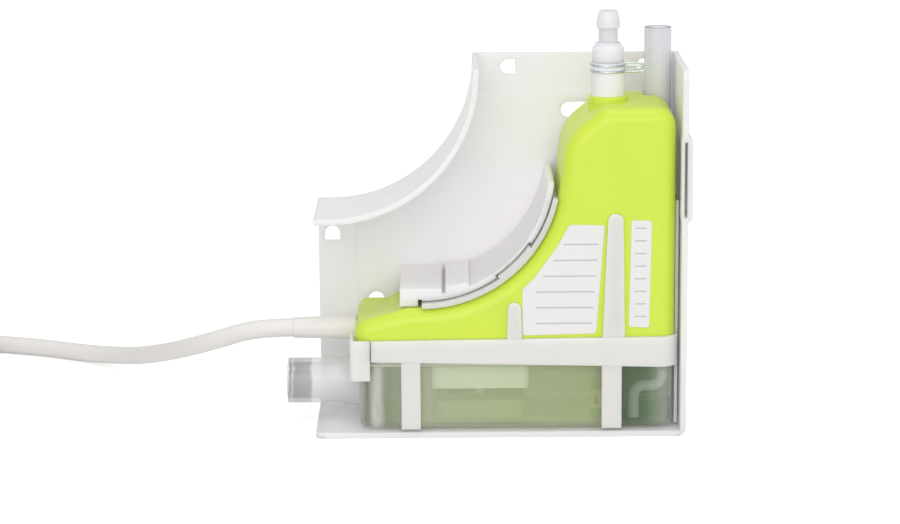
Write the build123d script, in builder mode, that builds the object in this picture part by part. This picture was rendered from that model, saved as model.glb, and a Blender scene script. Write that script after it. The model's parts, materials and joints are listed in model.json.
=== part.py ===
from build123d import *
from math import cos, pi, radians, sin, tan
import os

# Condensate pump standing in its elbow-shaped wall bracket, in millimetres.
# Places are measured from the bracket's outer lower corner: `left` runs towards the supply cord,
# `up` from the base, and `out` from the back plate's front face towards the room.

# ---------------------------------------------------------------- wall bracket
top_arm_width = 66.0
left_arm_width = 68.5
bend_radius = 45.5
top_straight = 1.4
left_straight = 4.5
bend_wall_depth = 36.0
plate_thickness = 2.0
wall_thickness = 1.8
bracket_depth = 43.0
bracket_corner_radius = 3.0
end_band = 12.5
end_band_step = 0.5

slot_radius = 2.4
end_slot_setback = 4.5
end_slot_inset = 11.5
end_slot_near = 11.0
tray_slot_width = 5.2
tray_slot_length = 22.0
tray_slot_end = 37.6
tray_slot_setback = 18.5

loop_low = 67.8
loop_high = 95.0
loop_depth = 14.0
loop_bulge = 1.4
loop_strip = 1.6
loop_slit = 0.9
loop_wall = 1.0
loop_ramp = 1.8

# ---------------------------------------------------------------- pump casing
unit_gap = 0.6
saddle_side_wall = 1.0
saddle_fit = 0.1
casing_width = 99.9
casing_back = 3.0
casing_depth = 38.0
casing_top = 103.4
casing_wall = 1.8
casing_edge_radius = 4.5
casing_back_radius = 1.5
neck_width = 35.3
waist_radius = 43.6
waist_end_angle = 12.0
foot_top = 40.6
nose_top = 36.3
nose_ramp_gap = 5.6
nose_skew = 10.4
nose_ramp_radius = 8.0
shoulder_left = 37.5
shoulder_up = 93.9
crown_left = 25.7
shoulder_radius = 14.0
crown_radius = 5.0
top_corner_radius = 6.0
nose_radius = 4.7
bottom_corner_radius = 1.0
boss_radius = 6.0
boss_height = 1.6

# ---------------------------------------------------------------- reservoir and saddle
base_gap = 0.8
tank_height = 20.0
tank_wall = 1.5
tank_corner_radius = 6.0
seal_thickness = 0.8
seal_width = 1.6
rim_thickness = 1.8
rim_width = 3.4
inlet_radius = 7.25
inlet_bore = 5.75
inlet_reach = 23.1
inlet_up = 13.7
inlet_collar = 8.1
inlet_collar_reach = 4.1

band_thickness = 2.3
band_top_left = 31.1
band_top_right = 32.0
band_low_left = 24.6
band_low_right = 22.4
band_split = 98.4
band_corner_radius = 6.6
finger_thickness = 1.7
short_finger = (56.0, 55.6, 51.6, 51.2)
short_finger_top = 43.0
tall_finger = (26.3, 24.5, 19.9, 19.2)
tall_finger_top = 70.9
strap_thickness = 1.9
left_strap = (83.0, 89.0)
right_strap = (20.2, 26.4)
side_finger_top = 74.0
side_finger_out = (26.0, 37.0)

latch_gap = 0.3
latch_width = 6.3
latch_low = 18.5
latch_high = 31.1
latch_leg = 1.2
latch_corner = 2.0
latch_side_reach = 13.0

# ---------------------------------------------------------------- curved guard and inner wall
guard_thickness = 1.6
guard_fit = 0.1
guard_back = 5.0
guard_front = 40.0
guard_gap = 0.3
inner_wall = 1.8
inner_wall_depth = 37.0
inner_wall_start = 6.0
hook_right = 76.1
hook_left = 89.3
hook_height = 5.7
pad_height = 1.6
pad_steps = [(70.4, 75.0), (67.6, 70.4)]
pad_step_rise = 0.5
tab_depth = 6.0
tab_half_angle = 9.5
tab_proud = 0.9
tab_gap = 0.3

# ---------------------------------------------------------------- pump drive, on one upright axis
drive_left = 23.7
drive_out = 22.0
running_gap = 0.05
cylinder_low = 43.0
cylinder_high = 84.0
cylinder_outer = 4.6
cylinder_wall = 0.8
coil_base = 49.5
coil_top = 76.0
bobbin_flange = 1.5
bobbin_wall = 1.0
bobbin_gap = 0.1
coil_outer = 11.4
winding_outer = 10.6
yoke_thickness = 1.8
yoke_width = 14.0
yoke_gap = 0.2
piston_low = 56.5
piston_length = 12.0
piston_bore = 1.5
piston_stroke = 1.5
spring_wire = 0.35
valve_seat_height = 3.0
valve_seat_bore = 1.6
valve_lift = 1.0
valve_radius = 2.3
valve_disc = 1.0
valve_spring_height = 3.2
valve_guard_height = 2.0
tube_socket = 4.0
valve_spring_radius = 1.5
valve_spring_wire = 0.2
valve_spring_turns = 3
valve_stem_radius = 0.9
valve_stem = 0.8
guard_disc = 0.8
guard_hole = 1.0
piston_recess = 2.0
piston_recess_radius = 2.6
main_spring_turns = 5
spigot_plug = 6.5
butt_gap = 0.5
damper_outer = 6.0
damper_groove = 1.2
upper_damper_height = 3.7
socket_wall = 1.6
suction_outer = 2.6
suction_bore = 1.6
suction_foot = 3.4
strainer_outer = 5.5
strainer_wall = 0.5
strainer_height = 6.0

# ---------------------------------------------------------------- outlet, vent and float
outlet_outer = 3.6
outlet_bore = 1.7
sleeve_outer = 5.25
sleeve_high = 115.3
sleeve_gap = 0.1
clip_low = 112.2
clip_wire = 0.8
clip_pitch = 1.9
clip_ear = 6.4
clip_ear_half = 2.6
spigot_shoulder = 4.95
spigot_shoulder_high = 121.5
spigot_neck = 3.0
spigot_neck_high = 126.2
spigot_bore = 1.9
barb_radius = 3.65
barb_land = 2.0
barb_tip_radius = 2.85
spigot_high = 131.5
vent_left = 7.2
vent_out = 8.0
vent_outer = 4.3
vent_bore = 3.0
vent_socket = 3.2
vent_nipple = 6.0
vent_high = 124.5
vent_relief = 0.5
elbow_outer = 1.8
elbow_bore = 1.1
elbow_drop = 8.8
elbow_reach = 9.0
elbow_radius = 3.5

sensor_right = 49.0
sensor_left = 79.5
sensor_back = 12.0
sensor_front = 37.0
sensor_low = 14.4
float_height = 5.6
float_rest_gap = 0.4
float_travel = 3.4
float_margin = 1.0
float_radius = 3.0
float_guide = 1.6
float_guide_gap = 0.4
magnet_radius = 2.0
magnet_height = 2.0

# ---------------------------------------------------------------- electronics and cord
board_right = 50.0
board_left = 85.0
board_back = 8.0
board_front = 36.0
board_post_height = 1.6
board_post_radius = 2.0
board_thickness = 1.6
capacitor_place = (56.0, 15.0)
capacitor_radius = 3.6
capacitor_height = 7.0
relay_left = (61.0, 74.5)
relay_out = (10.0, 19.0)
relay_height = 6.0
terminal_left = (76.5, 84.5)
terminal_out = (14.0, 30.0)
terminal_height = 6.0
terminal_poles = [17.0, 22.0, 27.0]
terminal_screw = 1.5
terminal_hole = 1.3
screw_radius = 1.25
screw_pilot_gap = 0.05
screw_length = 24.0
screw_head_radius = 2.6
screw_head_height = 1.8
screw_post_radius = 3.6
screw_places = [(33.9, 84.6), (42.0, 33.4), (90.0, 35.0)]

cord_radius = 3.0
cord_up = 31.0
cord_out = 22.0
gland_root_radius = 3.8
gland_tip_radius = 3.3
gland_reach = 20.0
gland_flange = 3.2
gland_neck = 3.0
gland_flange_depth = 1.4
coil_centre = (278.0, -36.0)
coil_mean_radius = 34.0
coil_turns_wide = 3
coil_turns_high = 2
tail_step = 16.0
core_radius = 1.1
core_length = 22.0

# ---------------------------------------------------------------- places worked out from the sizes
saddle_right = wall_thickness + unit_gap
casing_right = saddle_right + saddle_side_wall + saddle_fit
casing_left = casing_right + casing_width
casing_front = casing_back + casing_depth
tank_low = wall_thickness + base_gap
tank_high = tank_low + tank_height
rim_low = tank_high + seal_thickness
casing_low = rim_low + rim_thickness
tank_left = casing_left - 1.0
inlet_end = casing_left - 1.0 + inlet_reach
waist_left = casing_right + neck_width + waist_radius
nose_ramp_left = waist_left + nose_ramp_gap
waist_up = foot_top + waist_radius
bend_centre = (top_arm_width + bend_radius, left_arm_width + bend_radius)
bracket_left = bend_centre[0] + left_straight
bracket_top = bend_centre[1] + top_straight
drive_axis = (drive_left, drive_out)

# The finished pump without its cord is centred over the origin and stands on z = 0.
x_right = (inlet_end - loop_bulge) / 2
band_front = casing_front + saddle_fit + band_thickness
y_plate = (band_front - plate_thickness) / 2


def face_at(out):
    """Upright sketch plane `out` in front of the plate: x runs left, y runs up, normal to the wall."""
    return Plane(origin=(x_right, y_plate - out, 0), x_dir=(-1, 0, 0), z_dir=(0, 1, 0))


def plan_at(up):
    """Level sketch plane: x runs left, y runs out, normal up."""
    return Plane(origin=(x_right, y_plate, up), x_dir=(-1, 0, 0), z_dir=(0, 0, 1))


def side_at(left):
    """Upright sketch plane square to the wall: x runs out, y runs up, normal to the left."""
    return Plane(origin=(x_right - left, y_plate, 0), x_dir=(0, -1, 0), z_dir=(-1, 0, 0))


def place(left, up, out):
    """Point in the part's own frame."""
    return Vector(x_right - left, y_plate - out, up)


def box_between(left, up, out, mode=Mode.ADD):
    """Add or cut a rectangular block given its (low, high) along each direction."""
    with BuildSketch(face_at(out[1])) as section:
        with Locations(((left[0] + left[1]) / 2, (up[0] + up[1]) / 2)):
            Rectangle(left[1] - left[0], up[1] - up[0])
    extrude(section.sketch, amount=out[1] - out[0], mode=mode)


def upright(low, high, outer, inner=0.0, centre=drive_axis, mode=Mode.ADD):
    """Add or cut a disc, tube or hole about a vertical axis."""
    with BuildSketch(plan_at(low)) as section:
        with Locations(centre):
            Circle(outer)
            if inner:
                Circle(inner, mode=Mode.SUBTRACT)
    extrude(section.sketch, amount=high - low, mode=mode)


def finish(part, name):
    """Label a finished piece and write its STEP file."""
    part.label = name
    export_step(part, f"parts/{name}.step")


def arc_through(centre, radius, start_angle, end_angle):
    """Arc about a centre, angles in degrees measured from left-pointing x towards down."""
    angles = (start_angle, (start_angle + end_angle) / 2, end_angle)
    points = [
        (centre[0] - radius * cos(radians(a)), centre[1] - radius * sin(radians(a)))
        for a in angles
    ]
    return ThreePointArc(*points)


os.makedirs("parts", exist_ok=True)


# ---------------------------------------------------------------- wall bracket
def elbow(inset, overrun=0.0):
    """Face of the elbow, `inset` inside the outer walls, its open ends run on by `overrun`."""
    with BuildSketch() as face:
        with BuildLine():
            bend = arc_through(bend_centre, bend_radius + inset, 0, 90)
            Polyline(
                bend @ 1,
                (bracket_left + overrun, left_arm_width - inset),
                (bracket_left + overrun, inset),
                (inset, inset),
                (inset, bracket_top + overrun),
                (top_arm_width - inset, bracket_top + overrun),
                bend @ 0,
            )
        make_face()
    return face.sketch


def waist_band(inner, outer, start_angle, end_angle):
    """Sector of a ring about the waist's centre."""
    with BuildSketch() as face:
        with BuildLine():
            outer_edge = arc_through(waist_centre, outer, start_angle, end_angle)
            inner_edge = arc_through(waist_centre, inner, start_angle, end_angle)
            Line(outer_edge @ 0, inner_edge @ 0)
            Line(outer_edge @ 1, inner_edge @ 1)
        make_face()
    return face.sketch


waist_centre = (waist_left, waist_up)
guard_span = (waist_end_angle, 90)
tab_span = (45 - tab_half_angle, 45 + tab_half_angle)
notch_span = (45 - tab_half_angle - 1, 45 + tab_half_angle + 1)
guard_outer = waist_radius - guard_fit
guard_inner = guard_outer - guard_thickness
wall_outer = guard_inner - guard_gap
wall_inner = wall_outer - inner_wall

with BuildPart() as wall_bracket:
    with BuildSketch(face_at(bracket_depth)):
        add(elbow(0))
    extrude(amount=bracket_depth + plate_thickness)
    outer_corner = wall_bracket.edges().filter_by(Axis.Y).sort_by_distance(place(0, 0, 0))[0]
    fillet(outer_corner, bracket_corner_radius)
    with BuildSketch(face_at(bracket_depth)):
        add(elbow(wall_thickness, 1.0))
    extrude(amount=bracket_depth, mode=Mode.SUBTRACT)
    # the bend's wall stops short of the outer walls' front
    box_between(
        (wall_thickness, bracket_left + 1),
        (wall_thickness, bracket_top + 1),
        (bend_wall_depth, bracket_depth + 1),
        mode=Mode.SUBTRACT,
    )
    # the two end bands lie a little deeper, where the trunking pushes in
    for left, up in [
        ((wall_thickness, top_arm_width - wall_thickness), (bracket_top - end_band, bracket_top)),
        ((bracket_left - end_band, bracket_left), (wall_thickness, left_arm_width - wall_thickness)),
    ]:
        box_between(left, up, (-end_band_step, 0), mode=Mode.SUBTRACT)
    # the walls' free corners at the open ends
    free_corners = wall_bracket.edges().filter_by(GeomType.LINE).group_by(Axis.Y)[0]
    free_corners = free_corners.filter_by(lambda e: e.length < wall_thickness * 1.5)
    fillet(free_corners, bracket_corner_radius)
    # D-shaped screw slots in the end bands
    top_slot_up = bracket_top - end_slot_setback
    left_slot_left = bracket_left - end_slot_setback
    for centre, turn in [
        ((top_arm_width - end_slot_inset, top_slot_up), 0),
        ((end_slot_near, top_slot_up), 0),
        ((left_slot_left, left_arm_width - end_slot_inset), 90),
        ((left_slot_left, end_slot_near), 90),
    ]:
        with BuildSketch(face_at(0)):
            with Locations(Location((centre[0], centre[1], 0), (0, 0, turn))):
                Circle(slot_radius)
                with Locations((-slot_radius / 2, 0)):
                    Rectangle(slot_radius, slot_radius * 2)
        extrude(amount=plate_thickness, mode=Mode.SUBTRACT)
    # long slots for the fixing tray, one in each arm
    tray_centre = tray_slot_end - tray_slot_length / 2
    for centre, turn in [
        ((tray_centre, bracket_top - tray_slot_setback), 0),
        ((bracket_left - tray_slot_setback, tray_centre), 90),
    ]:
        with BuildSketch(face_at(0)):
            with Locations(Location((centre[0], centre[1], 0), (0, 0, turn))):
                SlotOverall(tray_slot_length, tray_slot_width)
        extrude(amount=plate_thickness, mode=Mode.SUBTRACT)
    # cable-tie loop: the wall joggles inwards over its whole depth, and a strip bridges it in front
    strip_face = loop_strip - loop_bulge
    joggle_face = strip_face + loop_slit
    joggle_inside = joggle_face + loop_wall
    loop_middle = (loop_low + loop_ramp, loop_high - loop_ramp)
    whole_depth = (-plate_thickness, bracket_depth)
    box_between((0, wall_thickness), (loop_low, loop_high), whole_depth, mode=Mode.SUBTRACT)
    with BuildSketch(face_at(bracket_depth)):
        with BuildLine():
            Polyline(
                (0, loop_low),
                (wall_thickness, loop_low),
                (joggle_inside, loop_middle[0]),
                (joggle_inside, loop_middle[1]),
                (wall_thickness, loop_high),
                (0, loop_high),
                (joggle_face, loop_middle[1]),
                (joggle_face, loop_middle[0]),
                close=True,
            )
        make_face()
    extrude(amount=bracket_depth + plate_thickness)
    with BuildSketch(face_at(bracket_depth)):
        with BuildLine():
            Polyline(
                (0, loop_low),
                (-loop_bulge, loop_low + loop_bulge),
                (-loop_bulge, loop_high - loop_bulge),
                (0, loop_high),
                (joggle_face, loop_middle[1]),
                (strip_face, loop_middle[1]),
                (strip_face, loop_middle[0]),
                (joggle_face, loop_middle[0]),
                close=True,
            )
        make_face()
    extrude(amount=loop_depth)
    # inner wall that follows the pump's waist, with its hook block
    with BuildSketch(face_at(inner_wall_depth)):
        with BuildLine():
            outer_arc = arc_through(waist_centre, wall_outer, inner_wall_start, 90)
            inner_arc = arc_through(waist_centre, wall_inner, inner_wall_start, 90)
            Line(outer_arc @ 0, inner_arc @ 0)
            Line(outer_arc @ 1, inner_arc @ 1)
        make_face()
        hook_low = foot_top + guard_gap
        hook_step = waist_left + guard_gap * 4
        hook_over_guard = waist_up - (wall_outer**2 - (waist_left - hook_right) ** 2) ** 0.5
        with BuildLine():
            Polyline(
                (hook_right, hook_over_guard),
                (hook_right, hook_low + hook_height),
                (hook_left, hook_low + hook_height),
                (hook_left, hook_low),
                (hook_step, hook_low),
                (hook_step, hook_over_guard),
                close=True,
            )
        make_face()
    extrude(amount=inner_wall_depth)
    with BuildSketch(face_at(inner_wall_depth)):
        add(waist_band(wall_outer - tab_proud, wall_outer + 0.1, *notch_span))
    extrude(amount=inner_wall_depth - guard_front + tab_depth + tab_gap, mode=Mode.SUBTRACT)
    # the inner wall thickens in two steps beside the hook
    wall_middle = wall_inner + inner_wall / 2
    for step, (low_left, high_left) in enumerate(pad_steps):
        wall_top = waist_up - (wall_inner**2 - (waist_left - low_left) ** 2) ** 0.5
        pad_top = wall_top + pad_height - step * pad_step_rise
        pad_low = [
            waist_up - (wall_middle**2 - (waist_left - edge) ** 2) ** 0.5
            for edge in (low_left, high_left)
        ]
        with BuildSketch(face_at(inner_wall_depth)):
            with BuildLine():
                Polyline(
                    (low_left, pad_low[0]),
                    (low_left, pad_top),
                    (high_left, pad_top - pad_step_rise),
                    (high_left, pad_low[1]),
                    close=True,
                )
            make_face()
        extrude(amount=inner_wall_depth)
finish(wall_bracket.part, "wall_bracket")


# ---------------------------------------------------------------- casing: two moulded shells
def casing_face(inset):
    """Front outline of the casing, `inset` inside its surface."""
    with BuildSketch() as face:
        with BuildLine():
            waist = arc_through(waist_centre, waist_radius, waist_end_angle, 90)
            FilletPolyline(
                waist @ 1,
                (nose_ramp_left, foot_top + 0.01),
                (casing_left, nose_top),
                (casing_left, casing_low),
                (casing_right, casing_low),
                (casing_right, casing_top),
                (crown_left, casing_top),
                (shoulder_left, shoulder_up),
                waist @ 0,
                radius=[
                    nose_ramp_radius,
                    nose_radius,
                    bottom_corner_radius,
                    bottom_corner_radius,
                    top_corner_radius,
                    crown_radius,
                    shoulder_radius,
                ],
            )
        make_face()
        if inset:
            offset(amount=-inset)
    return face.sketch


def nose_cutter(drop):
    """Space over the nose: its top steps down along a crease that runs back at a slant."""
    with BuildPart() as cutter:
        box_between(
            (nose_ramp_left - nose_skew - 1, casing_left + 1),
            (nose_top - drop, foot_top + 1),
            (0, casing_front + 1),
        )
        crease_front = place(casing_left, nose_top - drop, casing_front)
        crease_back = place(casing_left - nose_skew, nose_top - drop, casing_back)
        ramp_high = place(nose_ramp_left, foot_top - drop, casing_front)
        ramp_normal = (crease_back - crease_front).cross(ramp_high - crease_front).normalized()
        ramp_up = ramp_normal * (1 if ramp_normal.Z > 0 else -1)
        split(bisect_by=Plane(origin=crease_front, z_dir=ramp_up), keep=Keep.TOP)
    return cutter.part


vent_channel = vent_left + vent_outer + vent_relief
vent_channel_out = vent_out + vent_outer + vent_relief
outlet_seat_up = cylinder_high + valve_seat_height
outlet_guard_up = outlet_seat_up + valve_disc + valve_spring_height
outlet_body_high = outlet_guard_up + valve_guard_height
damper_high = outlet_body_high + upper_damper_height
valve_body_radius = cylinder_outer + running_gap + socket_wall
cavity_top = casing_top - casing_wall

with BuildPart() as cavity:
    with BuildSketch(face_at(casing_front - casing_wall)):
        add(casing_face(casing_wall))
    extrude(amount=casing_depth - 2 * casing_wall)
    add(nose_cutter(casing_wall * 1.2), mode=Mode.SUBTRACT)
    box_between(
        (0, vent_channel + casing_wall),
        (0, casing_top),
        (0, vent_channel_out + casing_wall),
        mode=Mode.SUBTRACT,
    )

with BuildPart() as casing:
    with BuildSketch(face_at(casing_front)):
        add(casing_face(0))
    extrude(amount=casing_depth)
    front_edges = casing.faces().sort_by(Axis.Y)[0].edges().sort_by(Axis.Z)[1:]
    fillet(front_edges, casing_edge_radius)
    back_edges = casing.faces().sort_by(Axis.Y)[-1].edges().sort_by(Axis.Z)[1:]
    fillet(back_edges, casing_back_radius)
    add(nose_cutter(0), mode=Mode.SUBTRACT)
    # recess up the back corner for the vent tube
    box_between((0, vent_channel), (0, casing_top + 1), (0, vent_channel_out), mode=Mode.SUBTRACT)
    upright(casing_top - casing_wall, casing_top + boss_height, boss_radius)
    boss_rim = casing.faces().sort_by(Axis.Z)[-1].edges()
    fillet(boss_rim, boss_height / 2)
    add(cavity.part, mode=Mode.SUBTRACT)
    # screw posts run from shell to shell, with the heads sunk in the back
    for left, up in screw_places:
        with BuildSketch(face_at(casing_front - casing_wall)):
            with Locations((left, up)):
                Circle(screw_post_radius)
        extrude(amount=casing_depth - 2 * casing_wall)
        with BuildSketch(face_at(casing_back + screw_length)):
            with Locations((left, up)):
                Circle(screw_radius + screw_pilot_gap)
        extrude(amount=screw_length, mode=Mode.SUBTRACT)
        with BuildSketch(face_at(casing_back + screw_head_height)):
            with Locations((left, up)):
                Circle(screw_head_radius + screw_pilot_gap)
        extrude(amount=screw_head_height, mode=Mode.SUBTRACT)
    # low posts under the circuit board
    floor_up = casing_low + casing_wall
    board_up = floor_up + board_post_height
    post_inset = board_post_radius * 2
    for left in (board_right + post_inset, board_left - post_inset):
        for out in (board_back + post_inset, board_front - post_inset):
            upright(floor_up, board_up, board_post_radius, centre=(left, out))
    # holes for the suction tube, the outlet and the cord
    upright(casing_low, floor_up, suction_outer + guard_gap, mode=Mode.SUBTRACT)
    upright(damper_high, cavity_top + 1, valve_body_radius)
    upright(damper_high, casing_top + boss_height, outlet_outer + guard_gap, mode=Mode.SUBTRACT)
    with BuildSketch(side_at(casing_left - casing_wall)):
        with Locations((cord_out, cord_up)):
            Circle(gland_neck + running_gap)
    extrude(amount=casing_wall, mode=Mode.SUBTRACT)
    with BuildSketch(side_at(casing_left - casing_wall - gland_flange_depth)):
        with Locations((cord_out, cord_up)):
            Circle(gland_flange + running_gap)
    extrude(amount=gland_flange_depth, mode=Mode.SUBTRACT)

parting = face_at(drive_out)
with BuildPart() as casing_front_shell:
    add(casing.part)
    split(bisect_by=parting, keep=Keep.BOTTOM)
finish(casing_front_shell.part, "casing_front")

with BuildPart() as casing_back_shell:
    add(casing.part)
    split(bisect_by=parting, keep=Keep.TOP)
finish(casing_back_shell.part, "casing_back")

with BuildPart() as casing_screws:
    for left, up in screw_places:
        with BuildSketch(face_at(casing_back + screw_length)):
            with Locations((left, up)):
                Circle(screw_radius)
        extrude(amount=screw_length)
        with BuildSketch(face_at(casing_back + screw_head_height)):
            with Locations((left, up)):
                Circle(screw_head_radius)
                RegularPolygon(screw_radius, 6, mode=Mode.SUBTRACT)
        extrude(amount=screw_head_height - 0.2)
finish(casing_screws.part, "casing_screws")


# ---------------------------------------------------------------- clear reservoir and its seal
def rounded_plan(low, left, out, radius, inset=0.0):
    """Level rounded rectangle, `inset` inside its edges."""
    with BuildSketch(plan_at(low)) as face:
        with Locations(((left[0] + left[1]) / 2, (out[0] + out[1]) / 2)):
            RectangleRounded(
                left[1] - left[0] - 2 * inset,
                out[1] - out[0] - 2 * inset,
                max(radius - inset, 0.5),
            )
    return face.sketch


tank_span = (casing_right, tank_left)
tank_depth = (casing_back + 1, casing_front)
tank_floor = tank_low + tank_wall

with BuildPart() as reservoir:
    extrude(rounded_plan(tank_low, tank_span, tank_depth, tank_corner_radius), amount=tank_height)
    fillet(reservoir.faces().sort_by(Axis.Z)[0].edges(), tank_wall)
    with BuildSketch(side_at(tank_left - tank_wall)):
        with Locations((drive_out, inlet_up)):
            Circle(inlet_radius)
    extrude(amount=inlet_end - tank_left + tank_wall)
    fillet(reservoir.faces().sort_by(Axis.X)[0].edges(), 0.4)
    # collar at the spigot's root, the stop for the inlet hose
    with BuildSketch(side_at(tank_left - tank_wall)):
        with Locations((drive_out, inlet_up)):
            Circle(inlet_collar)
    extrude(amount=inlet_collar_reach + tank_wall)
    extrude(
        rounded_plan(tank_floor, tank_span, tank_depth, tank_corner_radius, tank_wall),
        amount=tank_height,
        mode=Mode.SUBTRACT,
    )
    with BuildSketch(side_at(tank_left - tank_wall)):
        with Locations((drive_out, inlet_up)):
            Circle(inlet_bore)
    extrude(amount=inlet_end - tank_left + tank_wall, mode=Mode.SUBTRACT)
finish(reservoir.part, "reservoir")

with BuildPart() as reservoir_seal:
    extrude(rounded_plan(tank_high, tank_span, tank_depth, tank_corner_radius), amount=seal_thickness)
    extrude(
        rounded_plan(tank_high, tank_span, tank_depth, tank_corner_radius, seal_width),
        amount=seal_thickness,
        mode=Mode.SUBTRACT,
    )
finish(reservoir_seal.part, "reservoir_seal")

# ---------------------------------------------------------------- white saddle that ties them together
band_wrap = 24.0
band_middle = (band_low_right + band_top_right) / 2
finger_low = band_low_right + 5.6
finger_back = casing_front + saddle_fit
rim_windows = [
    (drive_left + 5, sensor_right - 3),
    (sensor_left + 3, casing_left - rim_width - 1),
]
window_out = (casing_back + rim_width, casing_front - rim_width)

with BuildPart() as saddle:
    with BuildSketch(face_at(band_front)):
        with BuildLine():
            Polyline(
                (saddle_right, band_low_right),
                (band_split, band_low_left),
                (band_split, band_top_left),
                (saddle_right, band_top_right),
                close=True,
            )
        make_face()
    extrude(amount=band_wrap)
    corner_place = place(saddle_right, band_middle, band_front)
    band_corner = saddle.edges().filter_by(Axis.Z).sort_by_distance(corner_place)[0]
    fillet(band_corner, band_corner_radius)
    extrude(
        rounded_plan(
            0,
            (casing_right - saddle_fit, inlet_end),
            (0, finger_back),
            casing_edge_radius + saddle_fit,
        ),
        amount=casing_top,
        mode=Mode.SUBTRACT,
    )
    # flat rim between reservoir and casing, with two windows
    extrude(
        rounded_plan(rim_low, (casing_right, casing_left), (casing_back, casing_front), tank_corner_radius),
        amount=rim_thickness,
    )
    box_between((casing_right + 8, band_split), (rim_low, casing_low), (casing_front, finger_back))
    for left in rim_windows:
        box_between(left, (rim_low, casing_low), window_out, mode=Mode.SUBTRACT)
    # upright fingers against the casing's front
    for (foot_left, tip_left, tip_right, foot_right), tip_up in [
        (short_finger, short_finger_top),
        (tall_finger, tall_finger_top),
    ]:
        outline = [
            (foot_left, finger_low),
            (tip_left, tip_up),
            (tip_right, tip_up),
            (foot_right, finger_low),
        ]
        with BuildSketch(face_at(finger_back + finger_thickness)) as finger:
            with BuildLine():
                Polyline(*outline, close=True)
            make_face()
            tip = finger.vertices().group_by(Axis.Y)[-1]
            fillet(tip, (tip_left - tip_right) * 0.45)
        extrude(amount=finger_thickness)
    # straps down the front of the reservoir
    strap_up = (tank_low + saddle_fit * 2, band_middle)
    for left in [left_strap, right_strap]:
        box_between(left, strap_up, (finger_back, finger_back + strap_thickness))
    # flat finger and strap on the right side
    side_span = (saddle_right, saddle_right + saddle_side_wall)
    box_between(side_span, (strap_up[0], side_finger_top), side_finger_out)
    # nipple that carries the vent tube
    vent_axis = (vent_left, vent_out)
    nipple_high = casing_low + vent_nipple
    upright(rim_low, nipple_high, vent_socket - saddle_fit, centre=vent_axis)
    upright(rim_low, nipple_high, vent_bore / 2, centre=vent_axis, mode=Mode.SUBTRACT)
    upright(rim_low, casing_low, suction_outer + saddle_fit, mode=Mode.SUBTRACT)
finish(saddle.part, "saddle")

with BuildPart() as release_latch:
    latch_right = band_split + latch_gap
    latch_left = latch_right + latch_width
    with BuildSketch(plan_at(latch_low)):
        with BuildLine():
            Polyline(
                (latch_right, band_front),
                (latch_left, band_front),
                (latch_left, band_front - latch_side_reach),
                (latch_left - latch_leg, band_front - latch_side_reach),
                (latch_left - latch_leg, finger_back + saddle_fit),
                (latch_right, finger_back + saddle_fit),
                close=True,
            )
        make_face()
    extrude(amount=latch_high - latch_low)
    corner_place = place(latch_left, latch_low, band_front)
    fillet(release_latch.edges().filter_by(Axis.Z).sort_by_distance(corner_place)[0], latch_corner)
finish(release_latch.part, "release_latch")

# ---------------------------------------------------------------- clear guard along the waist
with BuildPart() as waist_guard:
    with BuildSketch(face_at(guard_front)):
        add(waist_band(guard_inner, guard_outer, *guard_span))
    extrude(amount=guard_front - guard_back)
    with BuildSketch(face_at(guard_front)):
        add(waist_band(guard_inner - tab_proud, guard_inner + 0.2, *tab_span))
    extrude(amount=tab_depth)
finish(waist_guard.part, "waist_guard")


# ---------------------------------------------------------------- pump drive
def spring(low, high, radius, wire, turns):
    """Add a helical compression spring on the drive's axis."""
    with BuildLine():
        coil = Helix(
            pitch=(high - low - wire * 2) / turns,
            height=high - low - wire * 2,
            radius=radius,
            center=place(drive_left, low + wire, drive_out),
        )
    with BuildSketch(Plane(origin=coil @ 0, z_dir=coil % 0)) as section:
        RegularPolygon(wire, 6)
    sweep(section.sketch, path=coil, is_frenet=True)


cylinder_bore = cylinder_outer - cylinder_wall
chamber_radius = valve_radius + 0.7
inlet_seat_up = cylinder_low - valve_guard_height - valve_spring_height - valve_disc
inlet_body_low = inlet_seat_up - valve_seat_height - tube_socket

with BuildPart() as suction_tube:
    upright(tank_floor + suction_foot, inlet_body_low + tube_socket - running_gap, suction_outer, suction_bore)
finish(suction_tube.part, "suction_tube")

with BuildPart() as suction_strainer:
    strainer_low = tank_floor + 0.6
    strainer_high = strainer_low + strainer_height
    upright(strainer_low, strainer_high, strainer_outer, strainer_outer - strainer_wall)
    upright(strainer_high - strainer_wall, strainer_high, strainer_outer, suction_outer + running_gap)
    upright(strainer_low, strainer_low + strainer_wall, strainer_outer)
    # a ring of upright windows behind which the gauze sits
    for turn in range(8):
        angle = turn * pi / 4
        centre = (drive_left + strainer_outer * cos(angle), drive_out + strainer_outer * sin(angle))
        upright(strainer_low + 1.4, strainer_high - 1.6, 1.0, centre=centre, mode=Mode.SUBTRACT)
finish(suction_strainer.part, "suction_strainer")

with BuildPart() as lower_damper:
    upright(floor_up, inlet_body_low, damper_outer, suction_outer + running_gap)
    groove_low = (floor_up + inlet_body_low - damper_groove) / 2
    upright(
        groove_low,
        groove_low + damper_groove,
        damper_outer + 1,
        damper_outer - damper_groove,
        mode=Mode.SUBTRACT,
    )
finish(lower_damper.part, "lower_damper")

with BuildPart() as inlet_valve_body:
    socket_high = cylinder_low + tube_socket
    upright(inlet_body_low, socket_high, valve_body_radius)
    upright(inlet_body_low, inlet_body_low + tube_socket, suction_outer + running_gap, mode=Mode.SUBTRACT)
    upright(inlet_body_low, inlet_seat_up, valve_seat_bore, mode=Mode.SUBTRACT)
    upright(inlet_seat_up, cylinder_low, chamber_radius, mode=Mode.SUBTRACT)
    upright(cylinder_low, socket_high, cylinder_outer + running_gap, mode=Mode.SUBTRACT)
finish(inlet_valve_body.part, "inlet_valve_body")

with BuildPart() as pump_cylinder:
    upright(cylinder_low, cylinder_high, cylinder_outer, cylinder_bore)
finish(pump_cylinder.part, "pump_cylinder")

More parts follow.
